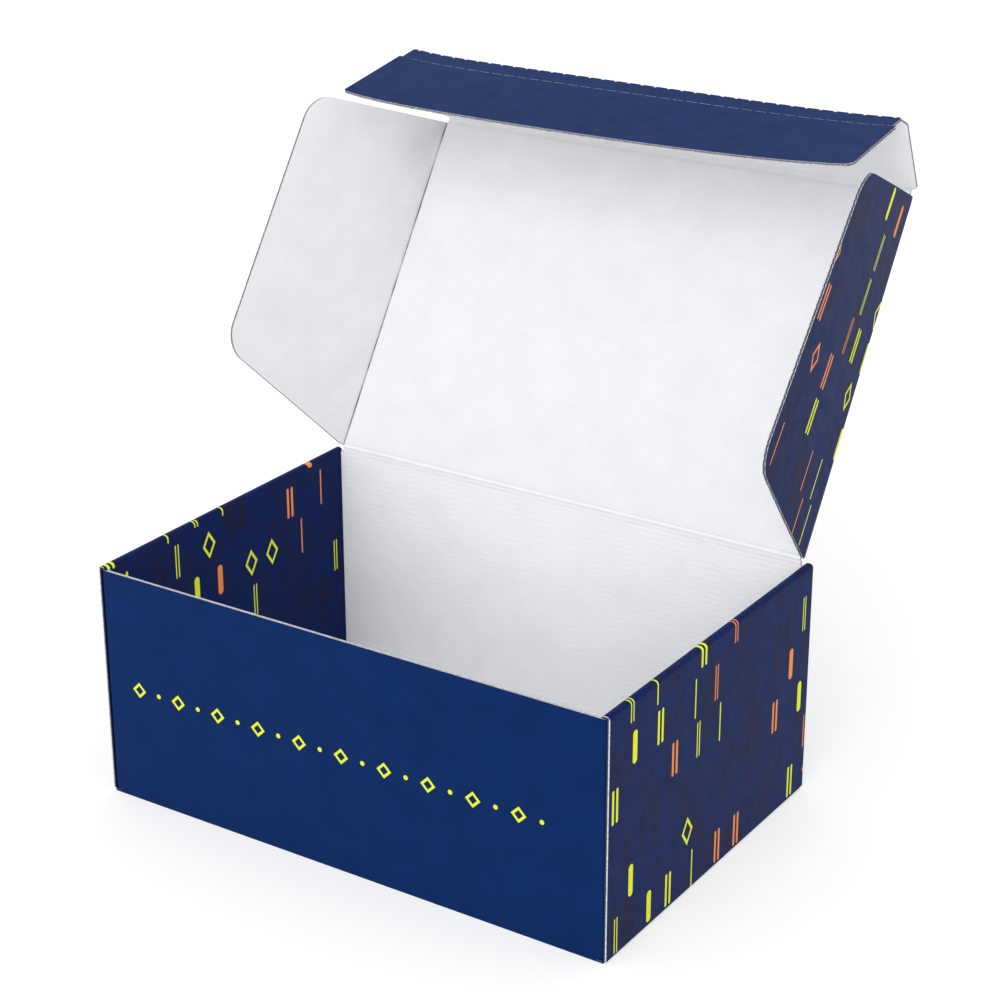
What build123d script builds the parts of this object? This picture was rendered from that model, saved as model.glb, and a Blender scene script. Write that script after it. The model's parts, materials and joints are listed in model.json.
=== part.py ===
from build123d import *
import os
from math import cos, radians, sin

os.makedirs("parts", exist_ok=True)

# The object is a mailing box folded from one die-cut sheet of fine-fluted corrugated board.
# The frame has its origin under the middle of the floor, +X to the right, +Y to the back and +Z up.
# The lid stands open, hinged on the back wall, with its ears and its front flaps half folded.

# Tray, outside to outside
WIDTH = 300.0
DEPTH = 198.0
HEIGHT = 128.0

# Board and its folds
BOARD = 1.5
FOLD_INSIDE_RADIUS = 0.5
LAYER_GAP = 0.1
EDGE_GAP = 0.3
CREASE_GAP = 0.1

# Corner flaps, which stand inside the rolled side walls
CORNER_FLAP_LENGTH = 78.0
CORNER_FLAP_ROUND = 12.0
CORNER_FLAP_LIFT = 0.8

# Tabs under the inner side walls, locked in slots of the floor
TAB_LENGTH = 32.0
TAB_SPACING = 96.0
TAB_END_GAP = 0.15
SLOT_SIDE_GAP = 0.2
SLOT_END_GAP = 0.5
CORNER_NOTCH = 1.6

# Lid and ears, with each fold as it stands and at its sharpest
LID_GAP = 0.35
LID_OPENING = 123.0
LID_SHARPEST = 90.0
SQUARE = 90.0
EAR_SIDE_GAP = 0.3
LEFT_EAR_FOLD = 76.0
RIGHT_EAR_FOLD = 82.8
EAR_SHARPEST = 113.0
EAR_REAR_REACH = 104.0
EAR_FRONT_REACH = 99.0
EAR_REAR_START = 1.7
EAR_REAR_END = 25.0
EAR_FRONT_SETBACK = 3.0
EAR_FRONT_TAPER = 23.8
EAR_REAR_ROUND = 16.0
EAR_FRONT_ROUND = 18.0

# Front flap and the end flap beyond its tear strip
FLAP_FOLD = 67.6
FLAP_SHARPEST = 90.0
FLAP_DEPTH = 51.0
FLAP_NEAR_OVERHANG = 2.6
FLAP_OVERHANG = 5.3
FLAP_FLARE = 1.2
FLAP_CORNER = 3.5
END_FOLD = 67.7
END_SHARPEST = 100.0
TEAR_STRIP = 12.2
STRIP_INSET = 1.9
END_PANEL = 51.5
END_ROUND = 4.5

# Perforation on both sides of the tear strip
CUT_LENGTH = 6.3
CUT_PITCH = 8.0
CUT_WIDTH = 0.4
TIE_DIP = 0.45

# A panel's edge at a crease is nearly half round, with this flat left in its middle
CREASE_FLAT = 0.03

# Middle lines of the board, worked out from the sizes above
half_board = BOARD / 2
fold = FOLD_INSIDE_RADIUS + half_board
edge_round = (BOARD - CREASE_FLAT) / 2
outer_x = WIDTH / 2 - half_board
corner_x = outer_x - BOARD - LAYER_GAP
inner_x = corner_x - BOARD - LAYER_GAP
inner_face = inner_x - half_board
wall_y = DEPTH / 2 - half_board
floor_z = half_board
roll_z = HEIGHT - half_board
wall_top = HEIGHT - BOARD - EDGE_GAP
inner_foot = BOARD + TAB_END_GAP
flap_foot = BOARD + CORNER_FLAP_LIFT
inner_end = DEPTH / 2 - BOARD - EDGE_GAP

lid_half = inner_face - EAR_SIDE_GAP - half_board
lid_reach = DEPTH + LID_GAP
lid_axis = Vector(0, wall_y, HEIGHT + LID_GAP + half_board)


def crease_edge(sharpest):
    """How far from a fold axis both panels stop, so that their round edges clear at this fold."""
    return (half_board + CREASE_GAP) / cos(radians(sharpest / 2)) - half_board


def swing(angle):
    """The direction of a panel that is this far open, from lying forward over the tray."""
    return Vector(0, -1, 0).rotate(Axis.X, -angle)


def panel_plane(axis_point, direction):
    """A plane on a panel's middle, with x along its fold and y away from it."""
    return Plane(axis_point, x_dir=(1, 0, 0), z_dir=Vector(1, 0, 0).cross(direction))


hinge_edge = crease_edge(LID_SHARPEST)
ear_edge = crease_edge(EAR_SHARPEST)
flap_edge = crease_edge(FLAP_SHARPEST)
end_edge = crease_edge(END_SHARPEST)
hinge_round_z = lid_axis.Z - hinge_edge - half_board
lid_way = swing(LID_OPENING)
inward = swing(LID_OPENING - SQUARE)
flap_axis = lid_axis + lid_way * lid_reach
flap_way = swing(LID_OPENING - FLAP_FOLD)
end_axis = flap_axis + flap_way * FLAP_DEPTH
end_way = swing(LID_OPENING - FLAP_FOLD - END_FOLD)


def draw_strip(points):
    """Draws bent board seen edge on, in the sketch that is open."""
    with BuildLine() as middle:
        FilletPolyline(*points, radius=fold)
    trace(middle.line, line_width=BOARD)


with BuildPart() as tray:
    # Floor and both side walls: one strip, rolled over at the tops and down again inside
    with BuildSketch(Plane.XZ):
        draw_strip(
            [
                (-inner_x, inner_foot),
                (-inner_x, roll_z),
                (-outer_x, roll_z),
                (-outer_x, floor_z),
                (outer_x, floor_z),
                (outer_x, roll_z),
                (inner_x, roll_z),
                (inner_x, inner_foot),
            ]
        )
    extrude(amount=DEPTH / 2, both=True)

    # The inner walls end behind the front and back walls, and only the roll runs on over them
    with BuildSketch(Plane.XY.offset(inner_foot)):
        for end in (-1, 1):
            with Locations((0, end * (inner_end + BOARD))):
                Rectangle(2 * (inner_x + half_board + LAYER_GAP / 2), 2 * BOARD)
    extrude(amount=HEIGHT - BOARD - inner_foot, mode=Mode.SUBTRACT)

    # Front and back walls rise from the floor's other two edges
    with BuildSketch(Plane.YZ):
        draw_strip([(-wall_y, wall_top), (-wall_y, floor_z), (wall_y, floor_z), (wall_y, wall_top)])
    extrude(amount=corner_x - fold, both=True)

    # Their ends fold back into the side walls as corner flaps
    for front in (-1, 1):
        flap_end = front * (wall_y - CORNER_FLAP_LENGTH)
        with BuildSketch(Plane.XY.offset(flap_foot)):
            draw_strip(
                [
                    (-corner_x, flap_end),
                    (-corner_x, front * wall_y),
                    (corner_x, front * wall_y),
                    (corner_x, flap_end),
                ]
            )
        extrude(amount=wall_top - flap_foot)
        free_edges = edges().filter_by(Axis.X).filter_by_position(Axis.Y, flap_end, flap_end)
        fillet(free_edges, CORNER_FLAP_ROUND)

    # The back wall runs up to the lid's crease between the rolled tops
    with BuildSketch(Plane.YZ):
        with Locations((wall_y, (wall_top + hinge_round_z) / 2)):
            Rectangle(BOARD, hinge_round_z - wall_top)
        with Locations((wall_y, hinge_round_z)):
            Circle(half_board)
    extrude(amount=lid_half - ear_edge, both=True)

    # Slots in the floor, and the inner walls' tabs standing in them
    with BuildSketch() as slots:
        for side in (-1, 1):
            with Locations((side * inner_x, 0)):
                with GridLocations(1, TAB_SPACING, 1, 2):
                    Rectangle(BOARD + 2 * SLOT_SIDE_GAP, TAB_LENGTH + 2 * SLOT_END_GAP)
    extrude(amount=BOARD, mode=Mode.SUBTRACT)
    with BuildSketch(Plane.XY.offset(TAB_END_GAP)):
        for side in (-1, 1):
            with Locations((side * inner_x, 0)):
                with GridLocations(1, TAB_SPACING, 1, 2):
                    Rectangle(BOARD, TAB_LENGTH)
    extrude(amount=inner_foot - TAB_END_GAP)

    # Small notches where two folds of the floor meet
    with BuildSketch():
        with GridLocations(WIDTH, DEPTH, 2, 2):
            Rectangle(2 * CORNER_NOTCH, 2 * CORNER_NOTCH)
    extrude(amount=CORNER_NOTCH, mode=Mode.SUBTRACT)

tray.part.label = "tray"
export_step(tray.part, "parts/tray.step")

lid_plane = panel_plane(lid_axis, lid_way)
with BuildPart() as lid:
    with BuildSketch(lid_plane.offset(-half_board)):
        with Locations((0, (hinge_edge + lid_reach - flap_edge) / 2)):
            Rectangle(2 * (lid_half - ear_edge), lid_reach - hinge_edge - flap_edge)
    extrude(amount=BOARD)
    faces_flat = faces().sort_by(Axis(lid_axis, inward))
    fillet(faces_flat[0].edges() + faces_flat[-1].edges(), edge_round)
lid.part.label = "lid"
export_step(lid.part, "parts/lid.step")


def build_ear(side, fold_angle, name):
    """One ear on the lid's side, -1 for the left and 1 for the right."""
    turn = radians(fold_angle)
    way = Vector(side, 0, 0) * cos(turn) + inward * sin(turn)
    plane = Plane(lid_axis + Vector(side * lid_half, 0, 0), x_dir=way, z_dir=way.cross(lid_way))
    front = lid_reach - EAR_FRONT_SETBACK
    with BuildPart() as ear:
        with BuildSketch(plane.offset(-half_board)):
            with BuildLine():
                rear_slope = (EAR_REAR_END - EAR_REAR_START) / EAR_REAR_REACH
                front_slope = EAR_FRONT_TAPER / EAR_FRONT_REACH
                Polyline(
                    (ear_edge, EAR_REAR_START + rear_slope * ear_edge),
                    (EAR_REAR_REACH, EAR_REAR_END),
                    (EAR_FRONT_REACH, front - EAR_FRONT_TAPER),
                    (ear_edge, front - front_slope * ear_edge),
                    close=True,
                )
            make_face()
            rear_corner = vertices().sort_by_distance((EAR_REAR_REACH, EAR_REAR_END, 0))[0]
            fillet(rear_corner, EAR_REAR_ROUND)
            front_corner = (EAR_FRONT_REACH, front - EAR_FRONT_TAPER, 0)
            fillet(vertices().sort_by_distance(front_corner)[0], EAR_FRONT_ROUND)
        extrude(amount=BOARD)
        fold_face = faces().sort_by(Axis(plane.origin, way))[0]
        fillet(fold_face.edges().filter_by(Axis(plane.origin, lid_way)), edge_round)
    ear.part.label = name
    export_step(ear.part, f"parts/{name}.step")
    return ear


left_ear = build_ear(-1, LEFT_EAR_FOLD, "left_ear")
right_ear = build_ear(1, RIGHT_EAR_FOLD, "right_ear")

flap_half = lid_half + FLAP_OVERHANG
strip_half = flap_half - STRIP_INSET
cut_count = int(2 * (strip_half - CUT_PITCH / 2) / CUT_PITCH)

flap_plane = panel_plane(flap_axis, flap_way)
with BuildPart() as front_flap:
    with BuildSketch(flap_plane.offset(-half_board)):
        with BuildLine():
            Polyline(
                (0, flap_edge),
                (lid_half - ear_edge, flap_edge),
                (lid_half + FLAP_NEAR_OVERHANG, flap_edge + FLAP_FLARE),
                (flap_half, FLAP_DEPTH - end_edge - FLAP_CORNER),
                (flap_half - FLAP_CORNER, FLAP_DEPTH - end_edge),
                (0, FLAP_DEPTH - end_edge),
            )
            mirror(about=Plane.YZ)
        make_face()
    extrude(amount=BOARD)
    fold_faces = faces().sort_by(Axis(flap_axis, flap_way))
    fillet(
        (fold_faces[0].edges() + fold_faces[-1].edges()).filter_by(Axis.X),
        edge_round,
    )
front_flap.part.label = "front_flap"
export_step(front_flap.part, "parts/front_flap.step")

end_plane = panel_plane(end_axis, end_way)
with BuildPart() as end_flap:
    with BuildSketch(end_plane.offset(-half_board)):
        with Locations((0, TEAR_STRIP + END_PANEL / 2)):
            Rectangle(2 * flap_half, END_PANEL)
        fillet(vertices().group_by(Axis.Y)[-1], END_ROUND)
        with Locations((0, (end_edge + TEAR_STRIP) / 2)):
            Rectangle(2 * strip_half, TEAR_STRIP - end_edge)
    extrude(amount=BOARD)
    near_face = faces().sort_by(Axis(end_axis, end_way))[0]
    fillet(near_face.edges().filter_by(Axis.X), edge_round)
    with BuildSketch(end_plane.offset(-half_board)):
        with Locations((0, TEAR_STRIP)):
            with GridLocations(CUT_PITCH, 1, cut_count, 1):
                Rectangle(CUT_LENGTH, CUT_WIDTH)
        with Locations((0, end_edge)):
            with GridLocations(CUT_PITCH, 1, cut_count + 1, 1):
                Rectangle(CUT_PITCH - CUT_LENGTH, 2 * TIE_DIP)
    extrude(amount=BOARD, mode=Mode.SUBTRACT)
end_flap.part.label = "end_flap"
export_step(end_flap.part, "parts/end_flap.step")
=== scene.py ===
import json
import math

import bmesh
import bpy
from mathutils import Matrix, Vector


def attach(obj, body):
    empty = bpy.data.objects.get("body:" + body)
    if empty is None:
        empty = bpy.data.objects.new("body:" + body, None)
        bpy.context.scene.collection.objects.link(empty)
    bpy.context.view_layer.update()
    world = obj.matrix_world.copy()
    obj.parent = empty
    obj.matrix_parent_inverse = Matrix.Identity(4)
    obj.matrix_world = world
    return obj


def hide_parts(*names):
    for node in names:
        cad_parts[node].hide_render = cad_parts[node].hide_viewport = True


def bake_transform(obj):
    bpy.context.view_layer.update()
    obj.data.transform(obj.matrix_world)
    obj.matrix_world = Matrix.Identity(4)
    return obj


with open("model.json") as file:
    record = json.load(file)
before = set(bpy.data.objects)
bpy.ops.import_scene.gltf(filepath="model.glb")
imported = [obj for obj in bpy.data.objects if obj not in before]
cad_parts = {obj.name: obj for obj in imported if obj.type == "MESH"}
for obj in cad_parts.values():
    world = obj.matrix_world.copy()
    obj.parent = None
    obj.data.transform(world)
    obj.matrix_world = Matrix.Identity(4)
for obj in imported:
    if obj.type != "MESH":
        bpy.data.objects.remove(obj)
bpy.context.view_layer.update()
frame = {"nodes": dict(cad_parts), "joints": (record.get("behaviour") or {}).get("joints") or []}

# Sizes are in millimetres, as on the cut sheet, and turned into metres where a piece is put in place
MM = 0.001

# Board: two liners on a fluted medium
HALF_BOARD = 0.75
LINER = 0.2
MEDIUM = 0.15
FLUTE_PITCH = 3.2
STEPS_PER_FLUTE = 8

# Tray, as it was packed: limits that tell its surfaces apart, from the middle outwards and upwards
HALF_WIDTH = 150.0
HEIGHT = 128.0
FLOOR_MIDDLE = 0.7
ROLL_INNER = 144.5
SLOT_ACROSS = (144.8, 148.0)
SLOT_HEIGHT = (0.05, 1.45)
SIDE_RIBS = 144.9
SIDE_SKIN = 145.1
SIDE_GAP = 147.0
SIDE_OUTER = 148.45
SIDE_LINER = 149.3
SIDE_STRIP_END = 97.3
END_WALL_INNER = 97.2
END_WALL_CORE = (97.85, 98.65)
END_WALL_MIDDLE = 98.2
END_WALL_OUTER = 98.5
STRIP_END = 98.9
WALL_EDGE_HEIGHT = (120.0, 126.35)
HINGE_LINE = 126.4
ROLL_START = 126.45
ROLL_TOP = 127.4
ROLL_LINER = 127.55
FOLDED_BOARD = 4.7

# Design on the front wall and the sides
ROW_START = -134.0
ROW_PITCH = 12.75
ROW_HEIGHT = 64.0
ROW_LAST = 19
SIDE_DESIGN_SHIFT = 54.0

# Ears
EAR_REAR_REACH = 104.0
EAR_FRONT_REACH = 99.0
EAR_REAR_START = 0.3
EAR_HEEL = 0.95
EAR_REAR_END = 25.0
EAR_FRONT_SETBACK = 3.0
EAR_FRONT_TAPER = 23.8
EAR_REAR_ROUND = 16.0
EAR_FRONT_ROUND = 18.0
EAR_CREASE_SHORT = 0.3

# Front flap and end flap
FLAP_NEAR_OVERHANG = 2.6
FLAP_OVERHANG = 5.3
FLAP_FLARE = 1.2
FLAP_NEAR_ROUND = 1.0
FLAP_CORNER = 3.5
TEAR_STRIP = 12.2
STRIP_INSET = 1.9
END_PANEL = 51.5
END_ROUND_LEFT = 2.0
END_ROUND_RIGHT = 4.5
STRIP_ROUND = 2.0
CUT_LENGTH = 6.3
CUT_PITCH = 8.0
CUT_WIDTH = 0.22
TIE_DIP = 1.0
TIE_HALF = 0.3
TIE_HALF_GAP = 0.55
TIE_LAP = 0.1
FOLD_ROWS = (1.0, 1.7, 2.4, 3.2, 4.2)

# How the boards have warped: turns and tilt in degrees, creep and flare in millimetres, skew as a share.
# The sharpness says how near its ends the fold between the flaps starts to stand out
LEFT_EAR_TURNS = (2.0, 0.0)
LEFT_EAR_CREEP = 0.0
RIGHT_EAR_TURNS = (1.9, -2.9)
RIGHT_EAR_CREEP = 4.6
END_FLARE = 2.76
FLARE_SHARPNESS_LEFT = 8
FLARE_SHARPNESS_RIGHT = 5
STAND_OFF = 0.25
END_TILT = 2.5
END_SKEW = 0.038

# How far from a fold's axis the boards stop, and how far the creased board between them laps over them
CREASE_REACH = 1.2
CREASE_LAP = 0.15
CREASE_HALF = 0.735
CREASE_STEPS = 8

SMOOTH_UP_TO = math.radians(35)

hinges = {joint["name"]: joint for joint in frame["joints"]}


def pivot(joint_name):
    return Vector(hinges[joint_name]["pos_m"]) / MM


ACROSS = Vector((1, 0, 0))
UP = Vector((0, 0, 1))
lid_axis = pivot("lid_hinge")
flap_axis = pivot("front_flap_hinge")
end_axis = pivot("end_flap_hinge")
lid_half = pivot("right_ear_hinge").x
lid_reach = (flap_axis - lid_axis).length
flap_depth = (end_axis - flap_axis).length
lid_way = (flap_axis - lid_axis).normalized()
inward = ACROSS.cross(lid_way)
flap_way = (end_axis - flap_axis).normalized()
end_fold = math.radians(hinges["end_flap_hinge"]["range_deg"][1])
end_way = Matrix.Rotation(end_fold, 3, "X") @ flap_way
flap_half = lid_half + FLAP_OVERHANG
strip_half = flap_half - STRIP_INSET


# Camera

CAMERA_AZIMUTH = math.radians(33.4365)
CAMERA_ELEVATION = math.radians(22.5543)
CAMERA_ROLL = math.radians(-0.1207)
CAMERA_DISTANCE = 1.2783016
CAMERA_ASIDE = 0.0219177
CAMERA_RISE = 0.1508352
CAMERA_LENS = 88.03
CAMERA_SENSOR = 36


def direction(azimuth, elevation):
    """The way from the object to something that stands round to the right of its front, and above it."""
    level = math.cos(elevation)
    return Vector((math.sin(azimuth) * level, -math.cos(azimuth) * level, math.sin(elevation)))


def add_camera():
    back = direction(CAMERA_AZIMUTH, CAMERA_ELEVATION)
    level = UP.cross(back).normalized()
    upright = back.cross(level)
    right = math.cos(CAMERA_ROLL) * level + math.sin(CAMERA_ROLL) * upright
    up = math.cos(CAMERA_ROLL) * upright - math.sin(CAMERA_ROLL) * level
    lens = bpy.data.cameras.new("photo_camera")
    lens.lens = CAMERA_LENS
    lens.sensor_width = CAMERA_SENSOR
    lens.clip_end = 50
    camera = bpy.data.objects.new("photo_camera", lens)
    bpy.context.scene.collection.objects.link(camera)
    turn = Matrix((right, up, back)).transposed().to_4x4()
    place = back * CAMERA_DISTANCE + right * CAMERA_ASIDE + up * CAMERA_RISE
    camera.matrix_world = Matrix.Translation(place) @ turn
    bpy.context.scene.camera = camera


# Node helpers


def srgb(code):
    """A linear colour from its six-digit code."""
    values = [int(code[i : i + 2], 16) / 255 for i in (0, 2, 4)]
    return [v / 12.92 if v <= 0.04045 else ((v + 0.055) / 1.055) ** 2.4 for v in values] + [1]


def grey(value):
    return (value, value, value, 1)


def put_in(tree, sockets, values):
    """Links each value that is a socket, and sets the others."""
    for key, value in values.items():
        if isinstance(value, bpy.types.NodeSocket):
            tree.links.new(value, sockets[key])
        else:
            sockets[key].default_value = value


def add(tree, kind, inputs=None, **settings):
    made = tree.nodes.new("ShaderNode" + kind)
    for key, value in settings.items():
        setattr(made, key, value)
    put_in(tree, made.inputs, inputs or {})
    return made


def calc(tree, operation, *values):
    return add(tree, "Math", dict(enumerate(values)), operation=operation).outputs[0]


def vector(tree, operation, *values):
    return add(tree, "VectorMath", dict(enumerate(values)), operation=operation).outputs[0]


def above(tree, value, limit):
    return calc(tree, "GREATER_THAN", value, limit)


def below(tree, value, limit):
    return calc(tree, "LESS_THAN", value, limit)


def both(tree, *masks):
    result = masks[0]
    for mask in masks[1:]:
        result = calc(tree, "MULTIPLY", result, mask)
    return result


def either(tree, *masks):
    result = masks[0]
    for mask in masks[1:]:
        result = calc(tree, "MAXIMUM", result, mask)
    return result


def between(tree, value, low, high):
    return both(tree, above(tree, value, low), below(tree, value, high))


def mix(tree, factor, first, second):
    return add(tree, "Mix", {0: factor, 6: first, 7: second}, data_type="RGBA").outputs[2]


def blend_value(tree, factor, first, second):
    return add(tree, "Mix", {0: factor, 2: first, 3: second}, data_type="FLOAT").outputs[0]


def noise(tree, place, scale, detail=3.0, roughness=0.55):
    inputs = {"Vector": place, "Scale": scale, "Detail": detail, "Roughness": roughness}
    return add(tree, "TexNoise", inputs).outputs[0]


def ramp(tree, value, low, high, to_low=0.0, to_high=1.0):
    inputs = {0: value, 1: low, 2: high, 3: to_low, 4: to_high}
    return add(tree, "MapRange", inputs, interpolation_type="SMOOTHSTEP").outputs[0]


def split(tree, place):
    return list(add(tree, "SeparateXYZ", {0: place}).outputs)


def distance_from(tree, value, line):
    return calc(tree, "ABSOLUTE", calc(tree, "SUBTRACT", value, line))


def length_of(tree, x, y):
    squares = calc(tree, "ADD", calc(tree, "MULTIPLY", x, x), calc(tree, "MULTIPLY", y, y))
    return calc(tree, "SQRT", squares)


def new_group(name, inputs, outputs):
    """A shader node group: inputs are (name, kind, value), outputs (name, kind)."""
    tree = bpy.data.node_groups.new(name, "ShaderNodeTree")
    for label, kind, value in inputs:
        socket = tree.interface.new_socket(label, in_out="INPUT", socket_type="NodeSocket" + kind)
        if value is not None:
            socket.default_value = value
    for label, kind in outputs:
        tree.interface.new_socket(label, in_out="OUTPUT", socket_type="NodeSocket" + kind)
    return tree, tree.nodes.new("NodeGroupInput").outputs, tree.nodes.new("NodeGroupOutput").inputs


def use_group(tree, group, **inputs):
    made = tree.nodes.new("ShaderNodeGroup")
    made.node_tree = group
    put_in(tree, made.inputs, inputs)
    return made.outputs


# Shader groups


def make_washboard():
    """The faint ribs that the flutes press into a liner."""
    tree, given, made = new_group(
        "washboard",
        [("Across", "Float", 0.0), ("Place", "Vector", None), ("Pitch", "Float", FLUTE_PITCH)],
        [("Height", "Float")],
    )
    drift = noise(tree, given["Place"], 0.03, 2.0)
    strength = noise(tree, given["Place"], 0.09, 2.0)
    turns = calc(tree, "DIVIDE", given["Across"], given["Pitch"])
    turns = calc(tree, "ADD", turns, calc(tree, "MULTIPLY", drift, 0.5))
    wave = calc(tree, "COSINE", calc(tree, "MULTIPLY", turns, 2 * math.pi))
    wave = calc(tree, "MULTIPLY", wave, ramp(tree, strength, 0.3, 0.7, 0.25, 1.0))
    tree.links.new(wave, made["Height"])
    return tree


def make_paper_grain():
    """Fibres and cloudy patches of a paper liner, as a tone about 0.5 and a height."""
    tree, given, made = new_group(
        "paper_grain", [("Place", "Vector", None)], [("Tone", "Float"), ("Height", "Float")]
    )
    place = given["Place"]
    stretched = vector(tree, "MULTIPLY", place, (0.35, 1.0, 1.0))
    fibres = noise(tree, stretched, 1.6, 4.0, 0.7)
    patches = noise(tree, place, 0.045, 3.0)
    specks = noise(tree, place, 5.0, 2.0, 0.8)
    tone = calc(tree, "ADD", calc(tree, "MULTIPLY", fibres, 0.5), calc(tree, "MULTIPLY", patches, 0.5))
    tree.links.new(tone, made["Tone"])
    height = calc(tree, "ADD", fibres, calc(tree, "MULTIPLY", specks, 0.4))
    tree.links.new(height, made["Height"])
    return tree


def make_crease_line():
    """How deep a pressed line is, which also sets its painted shade, from the distance to its middle. It is
    uneven along its length.
    """
    tree, given, made = new_group(
        "crease_line",
        [("Distance", "Float", 0.0), ("Width", "Float", 0.8), ("Place", "Vector", None)],
        [("Depth", "Float")],
    )
    uneven = noise(tree, given["Place"], 0.06, 3.0)
    share = calc(tree, "DIVIDE", given["Distance"], given["Width"])
    depth = ramp(tree, share, 0.0, 1.0, 1.0, 0.0)
    depth = calc(tree, "MULTIPLY", depth, ramp(tree, uneven, 0.3, 0.65, 0.45, 1.0))
    tree.links.new(depth, made["Depth"])
    return tree


def motif_cells(tree, place, width, height, seed, wander):
    """A staggered grid: a point's place in its cell, and the cell's draws.

    Three of the draws are random numbers, and the fourth drifts slowly from cell to cell.
    """
    across, along, _ = split(tree, place)
    row = calc(tree, "FLOOR", calc(tree, "DIVIDE", along, height))
    shift = calc(tree, "MULTIPLY", calc(tree, "FLOORED_MODULO", row, 3.0), width / 3)
    across = calc(tree, "ADD", across, shift)
    column = calc(tree, "FLOOR", calc(tree, "DIVIDE", across, width))
    cell = add(tree, "CombineXYZ", {0: column, 1: row, 2: seed}).outputs[0]
    draw = add(tree, "TexWhiteNoise", {"Vector": cell}, noise_dimensions="3D").outputs["Color"]
    draws = list(add(tree, "SeparateColor", {0: draw}).outputs)
    draws.append(noise(tree, cell, 0.37, 1.0))
    x = calc(tree, "SUBTRACT", across, calc(tree, "MULTIPLY", calc(tree, "ADD", column, 0.5), width))
    y = calc(tree, "SUBTRACT", along, calc(tree, "MULTIPLY", calc(tree, "ADD", row, 0.5), height))
    x = calc(tree, "ADD", x, calc(tree, "MULTIPLY", calc(tree, "SUBTRACT", draws[2], 0.5), wander))
    return x, y, draws


def nested_diamonds(tree, x, y, size, pitch, line):
    """Diamond outlines one inside the other. The line's width is a share of the pitch."""
    aside = calc(tree, "ABSOLUTE", calc(tree, "MULTIPLY", x, 1.5))
    spread = calc(tree, "ADD", aside, calc(tree, "ABSOLUTE", y))
    ring = above(tree, calc(tree, "FRACT", calc(tree, "DIVIDE", spread, pitch)), 1 - line)
    return both(tree, ring, below(tree, spread, size))


def paired_bars(tree, x, y, half_length, gap, radius):
    """Two upright bars with round ends, or one where the gap is nothing."""
    ends = calc(tree, "SUBTRACT", calc(tree, "ABSOLUTE", y), half_length)
    beyond = calc(tree, "MAXIMUM", ends, 0.0)
    aside = calc(tree, "SUBTRACT", calc(tree, "ABSOLUTE", x), gap)
    return below(tree, length_of(tree, beyond, aside), radius)


def make_printed_marks():
    """The design on the sides: small diamonds and bars, with large dark diamonds and bars behind."""
    tree, given, made = new_group(
        "printed_marks",
        [("Place", "Vector", None)],
        [("Lemon", "Float"), ("Orange", "Float"), ("Ghost", "Float")],
    )
    place = given["Place"]
    x, y, draws = motif_cells(tree, place, 24.0, 23.0, 3.0, 11.0)
    pick, tint, _, crowd = draws
    marks = both(tree, nested_diamonds(tree, x, y, 7.8, 7.8, 0.34), below(tree, pick, 0.14))
    # Each kind of bar: half its length, the gap, the radius, and its share of the draws
    bars = [
        (10.0, 0.0, 0.5, 0.14, 0.26),
        (9.0, 1.1, 0.4, 0.26, 0.48),
        (8.0, 1.8, 0.9, 0.48, 0.64),
        (6.5, 0.0, 2.0, 0.64, 0.82),
    ]
    for half_length, gap, radius, low, high in bars:
        bar = both(tree, paired_bars(tree, x, y, half_length, gap, radius), between(tree, pick, low, high))
        marks = either(tree, marks, bar)
    marks = both(tree, marks, above(tree, crowd, 0.46))
    orange = above(tree, tint, 0.74)
    tree.links.new(both(tree, marks, calc(tree, "SUBTRACT", 1.0, orange)), made["Lemon"])
    tree.links.new(both(tree, marks, orange), made["Orange"])

    behind = vector(tree, "ADD", place, (11.0, 7.0, 0.0))
    x, y, draws = motif_cells(tree, behind, 34.0, 41.0, 8.0, 12.0)
    large = both(tree, nested_diamonds(tree, x, y, 22.0, 11.0, 0.55), below(tree, draws[0], 0.4))
    blocks = both(tree, paired_bars(tree, x, y, 11.0, 5.5, 3.4), between(tree, draws[0], 0.4, 0.8))
    x, y, draws = motif_cells(tree, behind, 26.0, 31.0, 5.0, 10.0)
    stripes = both(
        tree,
        below(tree, calc(tree, "FRACT", calc(tree, "DIVIDE", x, 3.0)), 0.5),
        paired_bars(tree, x, y, 9.0, 0.0, 7.0),
        below(tree, draws[0], 0.5),
    )
    cloud = ramp(tree, noise(tree, place, 0.025, 2.0), 0.35, 0.6, 0.25, 0.9)
    tree.links.new(both(tree, either(tree, large, blocks, stripes), cloud), made["Ghost"])
    return tree


washboard = make_washboard()
paper_grain = make_paper_grain()
crease_line = make_crease_line()
printed_marks = make_printed_marks()


# Colours

NAVY = srgb("02285D")
NAVY_DEEP = srgb("022457")
SIDE_NAVY = srgb("021E56")
SIDE_NAVY_DEEP = srgb("021B50")
LEMON = srgb("E6F02E")
ORANGE = srgb("F2944C")
GHOST = srgb("1A1834")
WHITE = srgb("F4F5F7")
WHITE_DIM = srgb("EEEFF2")
# The lid's white liner, painted darker as shade
LID_SHADED_WHITE = srgb("E9EAED")
LID_SHADED_WHITE_DIM = srgb("E3E4E8")
# The tray's white liner, painted lighter as light
TRAY_LIT_WHITE = srgb("FBFCFD")
TRAY_LIT_WHITE_DIM = srgb("F5F6F8")
# Painted shade of rib hollows, pressed lines and the ears' folds, with some smudging
SHADE_AND_SMUDGE_GREY = srgb("B4B6BC")
# Painted shade for the inside corners of folds
CREASE_SHADE = srgb("3C3D44")
RAW_LIGHT = srgb("EAEAEC")
RAW_DARK = srgb("B4B2B6")
# Painted shade inside the board, between its liners
FLUTE_SHADE = srgb("A2A3AA")
FLUTE_DEEP_SHADE = srgb("66676F")
# Painted shade in the groove of cut edges and in the slot sides
GROOVE_SHADE = srgb("39404F")


# Materials


def new_material(name, gloss):
    material = bpy.data.materials.new(name)
    material.use_nodes = True
    tree = material.node_tree
    shader = tree.nodes["Principled BSDF"]
    shader.inputs["Specular IOR Level"].default_value = gloss
    return material, tree, shader


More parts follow.
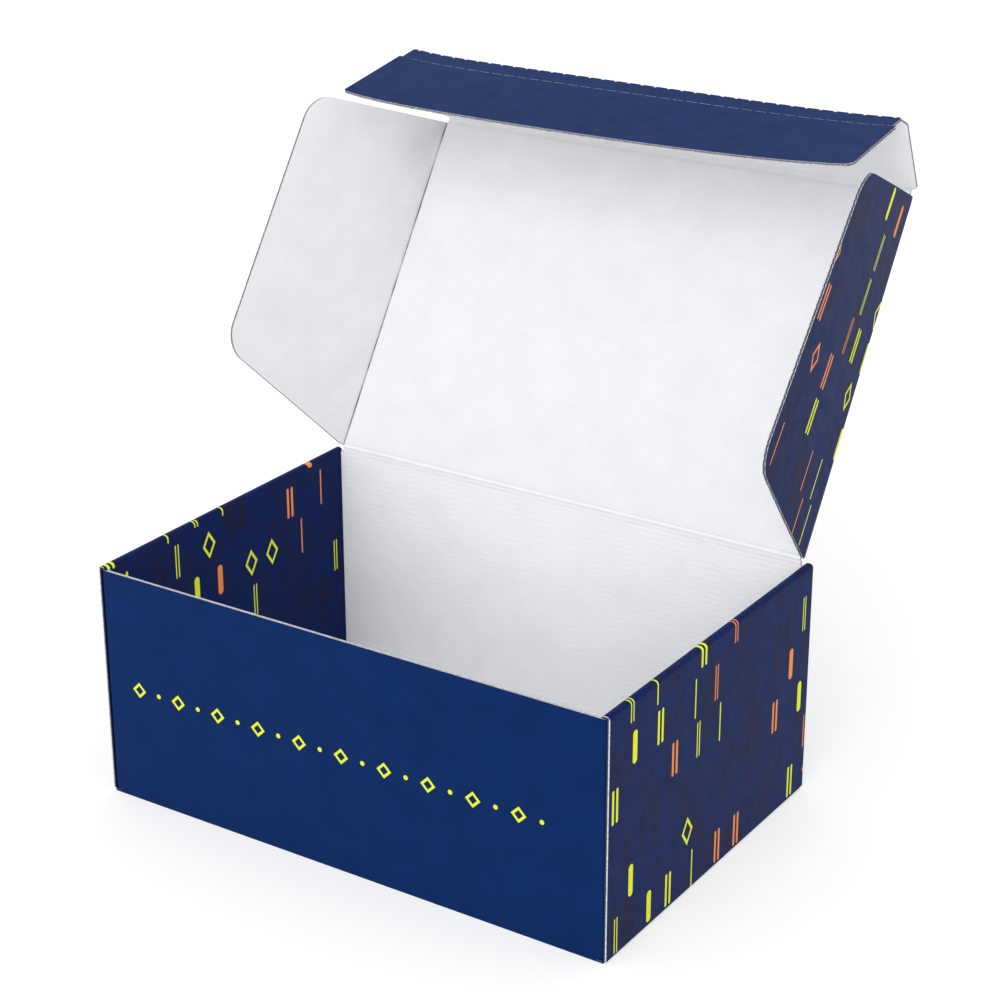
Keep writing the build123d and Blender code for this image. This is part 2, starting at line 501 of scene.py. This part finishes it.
def finish(tree, shader, colour, roughness, height, depth, strength):
    """Gives the shader its colour, roughness and relief."""
    bump = add(tree, "Bump", {"Height": height, "Distance": depth, "Strength": strength}).outputs[0]
    put_in(tree, shader.inputs, {"Base Color": colour, "Roughness": roughness, "Normal": bump})


def board_place(tree):
    """Millimetres on the flat board of a panel: across the fold, away from it, and through the board."""
    return add(tree, "Attribute", attribute_name="board", attribute_type="GEOMETRY").outputs["Vector"]


def ink(tree, place, deep=NAVY_DEEP, bright=NAVY):
    """Slightly uneven ink."""
    cloud = noise(tree, place, 0.05, 4.0)
    return mix(tree, ramp(tree, cloud, 0.3, 0.7), deep, bright)


def coated_roughness(tree, place):
    return ramp(tree, noise(tree, place, 0.12, 4.0), 0.3, 0.7, 0.46, 0.52)


def patterned_ink(tree, place, design_place):
    """The print of the side walls and ears, with its marks."""
    marks = use_group(tree, printed_marks, Place=design_place)
    colour = ink(tree, place, SIDE_NAVY_DEEP, SIDE_NAVY)
    colour = mix(tree, calc(tree, "MULTIPLY", marks["Ghost"], 0.85), colour, GHOST)
    colour = mix(tree, marks["Lemon"], colour, LEMON)
    return mix(tree, marks["Orange"], colour, ORANGE)


def white_paper(tree, place, rib_place, creases=(), dim=WHITE_DIM, bright=WHITE, rib_shade=0.03):
    """Colour and height of the white liner, with pressed lines at the creases: (distance, width), and painted
    shade in the rib hollows and pressed lines.
    """
    grain = use_group(tree, paper_grain, Place=place)
    ribs = use_group(tree, washboard, Across=rib_place, Place=place)["Height"]
    colour = mix(tree, ramp(tree, grain["Tone"], 0.35, 0.65), dim, bright)
    # Painted shade: the rib hollows are painted greyer
    hollow = calc(tree, "SUBTRACT", 1.0, ramp(tree, ribs, -1.0, 1.0))
    colour = mix(tree, calc(tree, "MULTIPLY", hollow, rib_shade), colour, SHADE_AND_SMUDGE_GREY)
    fibres = calc(tree, "MULTIPLY", grain["Height"], 0.2)
    height = calc(tree, "ADD", fibres, calc(tree, "MULTIPLY", ribs, 0.07))
    for distance, width in creases:
        depth = use_group(tree, crease_line, Distance=distance, Width=width, Place=place)["Depth"]
        # Painted shade: the pressed line is painted greyer along its groove
        colour = mix(tree, calc(tree, "MULTIPLY", depth, 0.22), colour, SHADE_AND_SMUDGE_GREY)
        height = calc(tree, "SUBTRACT", height, calc(tree, "MULTIPLY", depth, 0.7))
    return colour, height


def speckled(tree, place, dark, light):
    """Raw fibre, where the board is cut or the medium shows."""
    return mix(tree, ramp(tree, noise(tree, place, 0.9, 4.0, 0.75), 0.35, 0.65), dark, light)


def make_white_liner(name, lines=(), ribs_across=False, fold_shade_and_smudge=0.0, dim=WHITE_DIM, bright=WHITE):
    """White liner of a panel, with lines pressed at (distance from the fold, width), painted greyer as shade.

    The paper can be painted greyer near its fold, most of all at the front: painted shade, with some smudging.
    """
    material, tree, shader = new_material(name, 0.25)
    place = board_place(tree)
    across, away, _ = split(tree, place)
    creases = [(distance_from(tree, away, line), width) for line, width in lines]
    colour, height = white_paper(tree, place, across if ribs_across else away, creases, dim, bright)
    if fold_shade_and_smudge:
        # Painted shade near the fold, strongest at the front, with some smudging
        fold_shade_and_smudge_mask = both(
            tree,
            ramp(tree, noise(tree, place, 0.03, 4.0, 0.6), 0.2, 0.75),
            ramp(tree, away, 0.0, 40.0, fold_shade_and_smudge, 0.0),
            ramp(tree, calc(tree, "ABSOLUTE", across), 90.0, 190.0, 0.25, 1.0),
        )
        colour = mix(tree, fold_shade_and_smudge_mask, colour, SHADE_AND_SMUDGE_GREY)
    finish(tree, shader, colour, 0.75, height, 0.0002, 0.5)
    return material


def make_plain_print():
    material, tree, shader = new_material("navy_print", 0.07)
    place = board_place(tree)
    ribs = use_group(tree, washboard, Across=split(tree, place)[1], Place=place)["Height"]
    finish(tree, shader, ink(tree, place), coated_roughness(tree, place), ribs, 0.0001, 0.12)
    return material


def make_ear_print(name, shift):
    material, tree, shader = new_material(name, 0.045)
    place = board_place(tree)
    across, away, _ = split(tree, place)
    turned = add(tree, "CombineXYZ", {0: away, 1: across}).outputs[0]
    colour = patterned_ink(tree, place, vector(tree, "ADD", turned, shift))
    ribs = use_group(tree, washboard, Across=across, Place=place)["Height"]
    finish(tree, shader, colour, coated_roughness(tree, place), ribs, 0.0001, 0.12)
    return material


def make_raw_edge():
    material, tree, shader = new_material("raw_board_edge", 0.1)
    place = board_place(tree)
    colour = speckled(tree, place, RAW_DARK, RAW_LIGHT)
    finish(tree, shader, colour, 0.9, noise(tree, place, 3.0, 3.0), 0.0001, 0.5)
    return material


def make_flute_inside():
    """The fluted medium and the liners' inner faces, painted dark as the shade between the liners."""
    material, tree, shader = new_material("flute_inside", 0.05)
    colour = speckled(tree, board_place(tree), FLUTE_DEEP_SHADE, FLUTE_SHADE)
    put_in(tree, shader.inputs, {"Base Color": colour, "Roughness": 0.95})
    return material


def make_fold_corner(name, crease_shade_strength):
    """White liner pressed into the inside of a fold, with painted shade as a darker line along its corner."""
    material, tree, shader = new_material(name, 0.1)
    place = board_place(tree)
    along = split(tree, place)[1]
    colour, height = white_paper(tree, place, along)
    distance = calc(tree, "ABSOLUTE", along)
    line = use_group(tree, crease_line, Distance=distance, Width=0.8, Place=place)["Depth"]
    # Painted shade along the inside corner of the fold
    colour = mix(tree, calc(tree, "MULTIPLY", line, crease_shade_strength), colour, CREASE_SHADE)
    finish(tree, shader, colour, 0.8, height, 0.0002, 0.4)
    return material


def front_row(tree, x, z):
    """A row of small diamonds and dots across the front wall."""
    steps = calc(tree, "DIVIDE", calc(tree, "SUBTRACT", x, ROW_START), ROW_PITCH)
    number = calc(tree, "FLOOR", steps)
    aside = calc(tree, "MULTIPLY", calc(tree, "SUBTRACT", calc(tree, "FRACT", steps), 0.5), ROW_PITCH)
    rise = calc(tree, "SUBTRACT", z, ROW_HEIGHT)
    spread = calc(tree, "ADD", calc(tree, "ABSOLUTE", aside), calc(tree, "ABSOLUTE", rise))
    diamond = between(tree, spread, 2.5, 4.3)
    dot = below(tree, length_of(tree, aside, rise), 1.25)
    even = below(tree, calc(tree, "FLOORED_MODULO", number, 2.0), 0.5)
    mark = blend_value(tree, even, dot, diamond)
    return both(tree, mark, between(tree, number, -0.5, ROW_LAST + 0.5))


def unrolled_height(tree, across, z):
    """Height on the side walls' strip laid flat: up the outside, over the roll and down the inside."""
    over = calc(tree, "SUBTRACT", HEIGHT + HALF_WIDTH, across)
    inside = calc(tree, "SUBTRACT", 2 * HEIGHT + FOLDED_BOARD, z)
    height = blend_value(tree, below(tree, across, SIDE_GAP), z, inside)
    return blend_value(tree, above(tree, z, ROLL_TOP), height, over)


def make_tray_board():
    """One material for the whole tray: print outside and over the side walls, white inside, raw edges."""
    material, tree, shader = new_material("tray_board", 0.063)
    coordinates = add(tree, "TexCoord").outputs
    scaled = {0: coordinates["Object"], "Scale": 1 / MM}
    place = add(tree, "VectorMath", scaled, operation="SCALE").outputs[0]
    x, y, z = split(tree, place)
    _, facing_y, facing_z = split(tree, coordinates["Normal"])
    across = calc(tree, "ABSOLUTE", x)
    along = calc(tree, "ABSOLUTE", y)
    on_roll = above(tree, z, ROLL_START)
    on_outer_layer = above(tree, across, SIDE_OUTER)

    white = both(
        tree,
        below(tree, across, SIDE_SKIN),
        below(tree, along, END_WALL_MIDDLE),
        above(tree, z, FLOOR_MIDDLE),
    )
    wall_edge = both(
        tree,
        above(tree, facing_z, 0.7),
        above(tree, along, END_WALL_INNER),
        between(tree, z, *WALL_EDGE_HEIGHT),
    )
    strip_end = both(
        tree,
        above(tree, calc(tree, "ABSOLUTE", facing_y), 0.7),
        above(tree, along, STRIP_END),
        either(tree, on_outer_layer, both(tree, on_roll, above(tree, across, ROLL_INNER))),
    )
    slot_side = both(tree, between(tree, across, *SLOT_ACROSS), between(tree, z, *SLOT_HEIGHT))
    raw = either(tree, wall_edge, strip_end, slot_side)
    on_side = both(
        tree,
        above(tree, across, SIDE_SKIN),
        either(tree, below(tree, along, SIDE_STRIP_END), on_outer_layer, on_roll),
    )

    side = calc(tree, "SIGN", x)
    turned = calc(tree, "MULTIPLY", y, side)
    shifted = calc(tree, "ADD", turned, calc(tree, "MULTIPLY", side, SIDE_DESIGN_SHIFT))
    strip = add(tree, "CombineXYZ", {0: shifted, 1: unrolled_height(tree, across, z)}).outputs[0]
    row = both(tree, front_row(tree, x, z), below(tree, y, -END_WALL_OUTER))
    plain = mix(tree, row, ink(tree, place), LEMON)
    printed = mix(tree, on_side, plain, patterned_ink(tree, place, strip))

    # Both ways the flutes run: along X on the front, back and floor, and up the side walls
    rib_place = blend_value(tree, above(tree, across, SIDE_RIBS), calc(tree, "ADD", z, y), y)
    # Painted shade: the hinge's pressed line and the rib hollows are painted greyer
    hinge_line = (distance_from(tree, z, HINGE_LINE), 0.9)
    # The tray's white is painted lighter than the other liners, as painted light
    paper, paper_height = white_paper(
        tree, place, rib_place, [hinge_line], TRAY_LIT_WHITE_DIM, TRAY_LIT_WHITE, rib_shade=0.08
    )
    skin = mix(tree, white, printed, paper)

    # A cut edge shows the groove between the two liners, painted dark as shade; the slot sides get the same
    # painted shade
    groove_shade = calc(tree, "MULTIPLY", between(tree, along, *END_WALL_CORE), 0.35)
    roll_liner = either(tree, above(tree, across, SIDE_LINER), above(tree, z, ROLL_LINER))
    liner_cut = blend_value(tree, wall_edge, roll_liner, calc(tree, "SUBTRACT", 1.0, groove_shade))
    cut = mix(tree, liner_cut, GROOVE_SHADE, speckled(tree, place, RAW_DARK, RAW_LIGHT))

    dull = either(tree, white, raw)
    roughness = blend_value(tree, dull, coated_roughness(tree, place), 0.78)
    ribs = use_group(tree, washboard, Across=rib_place, Place=place)["Height"]
    relief = blend_value(tree, white, calc(tree, "MULTIPLY", ribs, 0.06), paper_height)
    finish(tree, shader, mix(tree, raw, skin, cut), roughness, relief, 0.0002, 0.5)
    return material


# Boards


def rounded_outline(corners):
    """Cutting lines of a flat shape, as (point, outward direction), from its corners.

    Each corner is (across, away, radius). Also gives the lowest and highest point.
    """
    shape = bmesh.new()
    points = [shape.verts.new((u, v, 0)) for u, v, _ in corners]
    shape.faces.new(points)
    lengths = []
    for i, (u, v, radius) in enumerate(corners):
        here = Vector((u, v))
        before = Vector(corners[i - 1][:2]) - here
        after = Vector(corners[(i + 1) % len(corners)][:2]) - here
        lengths.append(radius / math.tan(before.angle(after) / 2))
    for point, length in zip(points, lengths):
        if length:
            bmesh.ops.bevel(
                shape,
                geom=[point],
                offset=length,
                offset_type="OFFSET",
                segments=8,
                profile=0.5,
                affect="VERTICES",
                material=-1,
            )
    shape.faces.ensure_lookup_table()
    lines = []
    for loop in shape.faces[0].loops:
        start, end = loop.vert.co, loop.link_loop_next.vert.co
        side = end - start
        lines.append(((start + end) / 2, Vector((side.y, -side.x, 0)).normalized()))
    low = Vector([min(v.co[i] for v in shape.verts) for i in range(2)])
    high = Vector([max(v.co[i] for v in shape.verts) for i in range(2)])
    shape.free()
    return lines, low, high


def cut_flat(layer, point, way, clear=False):
    geometry = layer.verts[:] + layer.edges[:] + layer.faces[:]
    bmesh.ops.bisect_plane(layer, geom=geometry, dist=1e-4, plane_co=point, plane_no=way, clear_outer=clear)


def raise_faces(shape, faces, way):
    """Makes a body of flat faces."""
    raised = bmesh.ops.extrude_face_region(shape, geom=faces)
    verts = [item for item in raised["geom"] if isinstance(item, bmesh.types.BMVert)]
    bmesh.ops.translate(shape, verts=verts, vec=way)


def lay_sheet(board, outline, divisions, level, thickness, wave=None, rows_at=(), columns_at=(), gone=None):
    """Adds one paper of the board, cut to the outline. wave is (which way it undulates, height)."""
    lines, low, high = outline
    size = high - low
    columns, rows = divisions
    if wave:
        steps = max(2, round(size[wave[0]] / FLUTE_PITCH * STEPS_PER_FLUTE))
        columns, rows = (steps, rows) if wave[0] == 0 else (columns, steps)
    layer = bmesh.new()
    bmesh.ops.create_grid(layer, x_segments=columns, y_segments=rows, size=0.5)
    middle = (low + high) / 2
    stretch = Matrix.Diagonal((size.x, size.y, 1, 1))
    bmesh.ops.transform(layer, matrix=Matrix.Translation((*middle, level)) @ stretch, verts=layer.verts)
    if wave:
        for vert in layer.verts:
            vert.co.z += wave[1] * math.cos(2 * math.pi * vert.co[wave[0]] / FLUTE_PITCH)
    for point, way in lines:
        cut_flat(layer, point, way, clear=True)
    for place in columns_at:
        cut_flat(layer, (place, 0, 0), (1, 0, 0))
    for place in rows_at:
        cut_flat(layer, (0, place, 0), (0, 1, 0))
    if gone:
        holes = [face for face in layer.faces if gone(*face.calc_center_median().xy)]
        bmesh.ops.delete(layer, geom=holes, context="FACES")
    raise_faces(layer, layer.faces[:], (0, 0, thickness))
    bmesh.ops.recalc_face_normals(layer, faces=layer.faces)
    for face in layer.faces:
        face.material_index = surface_of(face)
    paper = bpy.data.meshes.new("paper")
    layer.to_mesh(paper)
    layer.free()
    board.from_mesh(paper)
    bpy.data.meshes.remove(paper)


def surface_of(face):
    """Which of a board's materials a face has: print 0, white liner 1, cut edge 2, inside the board 3."""
    if abs(face.normal.z) < 0.3:
        return 2
    level = face.calc_center_median().z
    if abs(level) > HALF_BOARD - 0.001:
        return 0 if level < 0 else 1
    return 3


def corrugate(board, corners, flutes=1, divisions=(1, 1), **cuts):
    """Adds a panel's liners and medium. flutes is the way it undulates: 0 across, 1 away from the fold."""
    outline = rounded_outline(corners)
    lay_sheet(board, outline, divisions, -HALF_BOARD, LINER, **cuts)
    lay_sheet(board, outline, divisions, HALF_BOARD - LINER, LINER, **cuts)
    room = HALF_BOARD - LINER - MEDIUM / 2
    lay_sheet(board, outline, divisions, -MEDIUM / 2, MEDIUM, wave=(flutes, room), **cuts)


def make_piece(name, shape, flat, materials):
    """An object of a finished shape, which keeps each point's place on the flat board for its materials."""
    mesh = bpy.data.meshes.new(name)
    shape.to_mesh(mesh)
    shape.free()
    mesh.shade_smooth()
    mesh.set_sharp_from_angle(angle=SMOOTH_UP_TO)
    mesh.attributes.new("board", "FLOAT_VECTOR", "POINT").data.foreach_set("vector", flat)
    for material in materials:
        mesh.materials.append(material)
    made = bpy.data.objects.new(name, mesh)
    bpy.context.scene.collection.objects.link(made)
    return made


def put_in_place(board, name, origin, across, away, materials, bend=None):
    """Stands a flat board where it belongs. Its print side is below, its white side above."""
    flat = [value for vert in board.verts for value in vert.co]
    turn = Matrix((across, away, across.cross(away))).transposed()
    for vert in board.verts:
        bent = bend(vert.co) if bend else vert.co
        vert.co = (origin + turn @ bent) * MM
    return make_piece(name, board, flat, materials)


def build_crease(
    name,
    axis_point,
    across,
    from_way,
    to_way,
    stretches,
    materials,
    half=CREASE_HALF,
    reach=CREASE_REACH,
    shift=None,
):
    """Creased board that bends at a fold. The stretches are its (start, end) along the fold."""
    fold = math.copysign(from_way.angle(to_way), across.dot(from_way.cross(to_way)))
    leg = reach + CREASE_LAP
    outer = -math.copysign(half, fold)

    def on_section(way, level, along):
        return way * along + across.cross(way) * level

    section = [on_section(from_way, outer, -leg)]
    for step in range(CREASE_STEPS + 1):
        way = Matrix.Rotation(fold * step / CREASE_STEPS, 3, across) @ from_way
        section.append(on_section(way, outer, 0))
    section.append(on_section(to_way, outer, leg))
    pinch = half * math.tan(abs(fold) / 2)
    section += [on_section(to_way, -outer, along) for along in (leg, (leg + pinch) / 2, pinch)]
    section += [on_section(from_way, -outer, -along) for along in ((leg + pinch) / 2, leg)]

    strip = bmesh.new()
    for start, end in stretches:
        ring = [strip.verts.new(point + across * start) for point in section]
        raise_faces(strip, [strip.faces.new(ring)], across * (end - start))
    bmesh.ops.recalc_face_normals(strip, faces=strip.faces)
    middle_way = (from_way + to_way).normalized()
    outside = -across.cross(middle_way)
    for face in strip.faces:
        if abs(face.normal.dot(across)) > 0.7:
            face.material_index = 2
        else:
            face.material_index = 0 if face.calc_center_median().dot(outside) > 0 else 1
    flat = []
    for vert in strip.verts:
        along = vert.co.dot(across)
        flat += [along, vert.co.dot(middle_way), -vert.co.dot(outside)]
        if shift:
            vert.co += shift(along)
        vert.co = (axis_point + vert.co) * MM
    return make_piece(name, strip, flat, materials)


def join_bodies(piece):
    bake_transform(piece)


# Lid and ears


def build_lid():
    side = lid_half - CREASE_REACH
    corners = [
        (-side, CREASE_REACH, 0),
        (side, CREASE_REACH, 0),
        (side, lid_reach - CREASE_REACH, 0),
        (-side, lid_reach - CREASE_REACH, 0),
    ]
    lines = [(2.0, 0.8), (lid_reach - 3.2, 1.5)]
    # The lid's liner is painted darker than the other liners, as painted shade
    liner = make_white_liner("lid_liner", lines, dim=LID_SHADED_WHITE_DIM, bright=LID_SHADED_WHITE)
    board = bmesh.new()
    corrugate(board, corners)
    materials = [plain_print, liner, raw_edge, flute_inside]
    lid = put_in_place(board, "lid_board", lid_axis, ACROSS, lid_way, materials)
    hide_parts("lid")
    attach(lid, "lid")
    # The hinge's inside corner gets painted shade
    materials = [plain_print, make_fold_corner("hinge_corner", 0.2), raw_edge]
    crease = build_crease("lid_crease", lid_axis, ACROSS, UP, lid_way, [(-side, side)], materials)
    join_bodies(crease)


def ear_way(side):
    fold = math.radians(-hinges["left_ear_hinge" if side < 0 else "right_ear_hinge"]["range_deg"][0])
    return ACROSS * side * math.cos(fold) + inward * math.sin(fold)


def ear_corners(side):
    """The ear's outline, with its way along the fold turned so that the white side is above."""
    front = lid_reach - EAR_FRONT_SETBACK
    rear_slope = (EAR_REAR_END - EAR_REAR_START) / EAR_REAR_REACH
    front_slope = EAR_FRONT_TAPER / EAR_FRONT_REACH
    outline = [
        (EAR_HEEL, CREASE_REACH, 0),
        (EAR_HEEL, (EAR_HEEL - EAR_REAR_START) / rear_slope, 0),
        (EAR_REAR_END, EAR_REAR_REACH, EAR_REAR_ROUND),
        (front - EAR_FRONT_TAPER, EAR_FRONT_REACH, EAR_FRONT_ROUND),
        (front - front_slope * CREASE_REACH, CREASE_REACH, 0),
    ]
    if side > 0:
        return [(-along, away, radius) for along, away, radius in outline]
    return outline[::-1]


def twist(rear_turn, front_turn, creep, along_sign):
    """Turns the ear by an angle that changes from rear to front, and lets its front tip creep on."""
    tip = lid_reach - EAR_FRONT_SETBACK - EAR_FRONT_TAPER

    def bend(point):
        along = point.x * along_sign
        turn = math.radians(rear_turn + (front_turn - rear_turn) * along / lid_reach)
        cosine, sine = math.cos(turn), math.sin(turn)
        x = point.x + along_sign * creep * (point.y / EAR_FRONT_REACH) * along / tip
        return Vector((x, point.y * cosine - point.z * sine, point.y * sine + point.z * cosine))

    return bend


def build_ear(side, name, turns, creep):
    way = ear_way(side)
    along = lid_way * -side
    origin = lid_axis + ACROSS * side * lid_half
    printed = make_ear_print(name + "_print", (9.0 * side, 4.0, 0.0))
    # The ears' liners are painted greyer near their fold: painted shade with some smudging
    liner = make_white_liner(name + "_liner", [(1.7, 0.8)], ribs_across=True, fold_shade_and_smudge=0.6)
    board = bmesh.new()
    corrugate(board, ear_corners(side), flutes=0, divisions=(16, 12))
    materials = [printed, liner, raw_edge, flute_inside]
    ear = put_in_place(
        board, name + "_board", origin, along, way, materials, twist(*turns, creep, -side)
    )
    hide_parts(name)
    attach(ear, name)
    front = lid_reach - EAR_FRONT_SETBACK - EAR_CREASE_SHORT
    stretch = (-EAR_HEEL * side, -front * side)
    from_way = ACROSS * side
    materials = [printed, ear_corner, raw_edge]
    crease = build_crease(name + "_crease", origin, along, from_way, way, [stretch], materials)
    join_bodies(crease)


# Front flap and end flap


def flare(across):
    """How far the fold between the two flaps stands out at this place, most at its ends."""
    sharpness = FLARE_SHARPNESS_LEFT if across < 0 else FLARE_SHARPNESS_RIGHT
    return -STAND_OFF - END_FLARE * (abs(across) / flap_half) ** sharpness


def bow_front_flap(point):
    return Vector((point.x, point.y, point.z + flare(point.x) * point.y / flap_depth))


def bow_end_flap(point):
    share = point.x / flap_half
    turn = math.radians(-END_TILT * share * share)
    cosine, sine = math.cos(turn), math.sin(turn)
    away = point.y * (1 - END_SKEW * share)
    shift = flare(point.x) * ACROSS.cross(flap_way)
    return Vector(
        (
            point.x,
            away * cosine - point.z * sine + shift.dot(end_way),
            away * sine + point.z * cosine + shift.dot(ACROSS.cross(end_way)),
        )
    )


def hang_on_flaps(piece):
    """Bakes the piece's place into its mesh."""
    join_bodies(
        piece
    )


def build_front_flap():
    near = CREASE_REACH
    far = flap_depth - TIE_HALF_GAP
    side = lid_half - CREASE_REACH
    wide = lid_half + FLAP_NEAR_OVERHANG
    corners = [
        (-side, near, 0),
        (side, near, 0),
        (wide, near + FLAP_FLARE, FLAP_NEAR_ROUND),
        (flap_half, far - FLAP_CORNER, 0),
        (flap_half - FLAP_CORNER, far, 0),
        (-(flap_half - FLAP_CORNER), far, 0),
        (-flap_half, far - FLAP_CORNER, 0),
        (-wide, near + FLAP_FLARE, FLAP_NEAR_ROUND),
    ]
    board = bmesh.new()
    corrugate(board, corners, divisions=(24, 4), rows_at=[flap_depth - away for away in FOLD_ROWS])
    liner = make_white_liner("front_flap_liner", [(2.2, 0.9)])
    materials = [plain_print, liner, raw_edge, flute_inside]
    flap = put_in_place(
        board, "front_flap_board", flap_axis, ACROSS, flap_way, materials, bow_front_flap
    )
    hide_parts("front_flap")
    hang_on_flaps(flap)
    # The fold's inside corner gets light painted shade
    materials = [plain_print, make_fold_corner("front_corner", 0.1), raw_edge]
    crease = build_crease(
        "front_crease", flap_axis, ACROSS, lid_way, flap_way, [(-side, side)], materials
    )
    join_bodies(crease)


def build_end_flap():
    near = TIE_HALF_GAP
    far = TEAR_STRIP + END_PANEL
    dip = near + TIE_DIP
    cut_start, cut_end = TEAR_STRIP - CUT_WIDTH / 2, TEAR_STRIP + CUT_WIDTH / 2
    strip = [
        (-strip_half, near, STRIP_ROUND),
        (strip_half, near, STRIP_ROUND),
        (strip_half, cut_end, 0),
        (-strip_half, cut_end, 0),
    ]
    panel = [
        (-flap_half, cut_end, 0),
        (flap_half, cut_end, 0),
        (flap_half, far, END_ROUND_RIGHT),
        (-flap_half, far, END_ROUND_LEFT),
    ]
    tie = (CUT_PITCH - CUT_LENGTH) / 2
    count = int(strip_half / CUT_PITCH)
    ties = [number * CUT_PITCH for number in range(-count, count + 1)]
    tie_ends = [place + end * tie for place in ties for end in (-1, 1)]

    def cut_through(u, v):
        nearest = min(abs(u - place) for place in ties)
        return v < dip and nearest < tie or v > cut_start and nearest > tie

    board = bmesh.new()
    rows = [away for away in FOLD_ROWS if away > dip] + [dip, cut_start]
    corrugate(board, strip, divisions=(24, 1), rows_at=rows, columns_at=tie_ends, gone=cut_through)
    corrugate(board, panel, divisions=(24, 6))
    liner = make_white_liner("end_flap_liner")
    materials = [plain_print, liner, raw_edge, flute_inside]
    flap = put_in_place(board, "end_flap_board", end_axis, ACROSS, end_way, materials, bow_end_flap)
    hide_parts("end_flap")
    hang_on_flaps(flap)
    crease = build_crease(
        "tear_ties",
        end_axis,
        ACROSS,
        flap_way,
        end_way,
        [(place - tie, place + tie) for place in ties],
        [plain_print, liner, raw_edge],
        half=TIE_HALF,
        reach=dip + TIE_LAP,
        shift=lambda along: ACROSS.cross(flap_way) * flare(along),
    )
    hang_on_flaps(crease)


# Floor and light

# The floor as the object sees it, and as the camera and reflections see it: its colour and its own glow
FLOOR_COLOUR = grey(0.8)
FLOOR_SEEN_COLOUR = grey(0.6)
FLOOR_SEEN_GLOW = grey(0.48)
ROOM_LIGHT = 0.91
ROOM_SEEN = 1.0
KEY_POWER = 1.12
KEY_SOFTNESS = math.radians(45)
KEY_AZIMUTH = math.radians(12)
KEY_ELEVATION = math.radians(28)


def seen_by(tree, *rays):
    path = add(tree, "LightPath").outputs
    return either(tree, *[path["Is %s Ray" % ray] for ray in rays])


def add_floor():
    bpy.ops.mesh.primitive_plane_add(size=8)
    floor = bpy.context.object
    floor.name = "studio_floor"
    material, tree, shader = new_material("studio_floor", 0.0)
    seen = seen_by(tree, "Camera", "Glossy")
    put_in(
        tree,
        shader.inputs,
        {
            "Base Color": mix(tree, seen, FLOOR_COLOUR, FLOOR_SEEN_COLOUR),
            "Emission Color": mix(tree, seen, grey(0), FLOOR_SEEN_GLOW),
            "Emission Strength": 1.0,
            "Roughness": 0.9,
        },
    )
    floor.data.materials.append(material)


def add_room():
    world = bpy.data.worlds.new("studio")
    bpy.context.scene.world = world
    world.use_nodes = True
    tree = world.node_tree
    seen = seen_by(tree, "Camera", "Glossy", "Transmission")
    strength = blend_value(tree, seen, ROOM_LIGHT, ROOM_SEEN)
    put_in(tree, tree.nodes["Background"].inputs, {"Color": grey(1), "Strength": strength})


def add_key():
    lamp = bpy.data.lights.new("soft_key", "SUN")
    lamp.energy = KEY_POWER
    lamp.angle = KEY_SOFTNESS
    key = bpy.data.objects.new("soft_key", lamp)
    bpy.context.scene.collection.objects.link(key)
    towards = direction(KEY_AZIMUTH, KEY_ELEVATION)
    key.rotation_euler = towards.to_track_quat("Z", "Y").to_euler()


add_camera()
add_floor()
add_room()
add_key()
bpy.context.scene.view_settings.view_transform = "Standard"

plain_print = make_plain_print()
raw_edge = make_raw_edge()
flute_inside = make_flute_inside()
# The ears' inside fold corners get the darkest painted shade
ear_corner = make_fold_corner("ear_corner", 1.0)

tray = frame["nodes"]["tray"]
tray.data.materials.clear()
tray.data.materials.append(make_tray_board())

build_lid()
build_ear(-1, "left_ear", LEFT_EAR_TURNS, LEFT_EAR_CREEP)
build_ear(1, "right_ear", RIGHT_EAR_TURNS, RIGHT_EAR_CREEP)
build_front_flap()
build_end_flap()
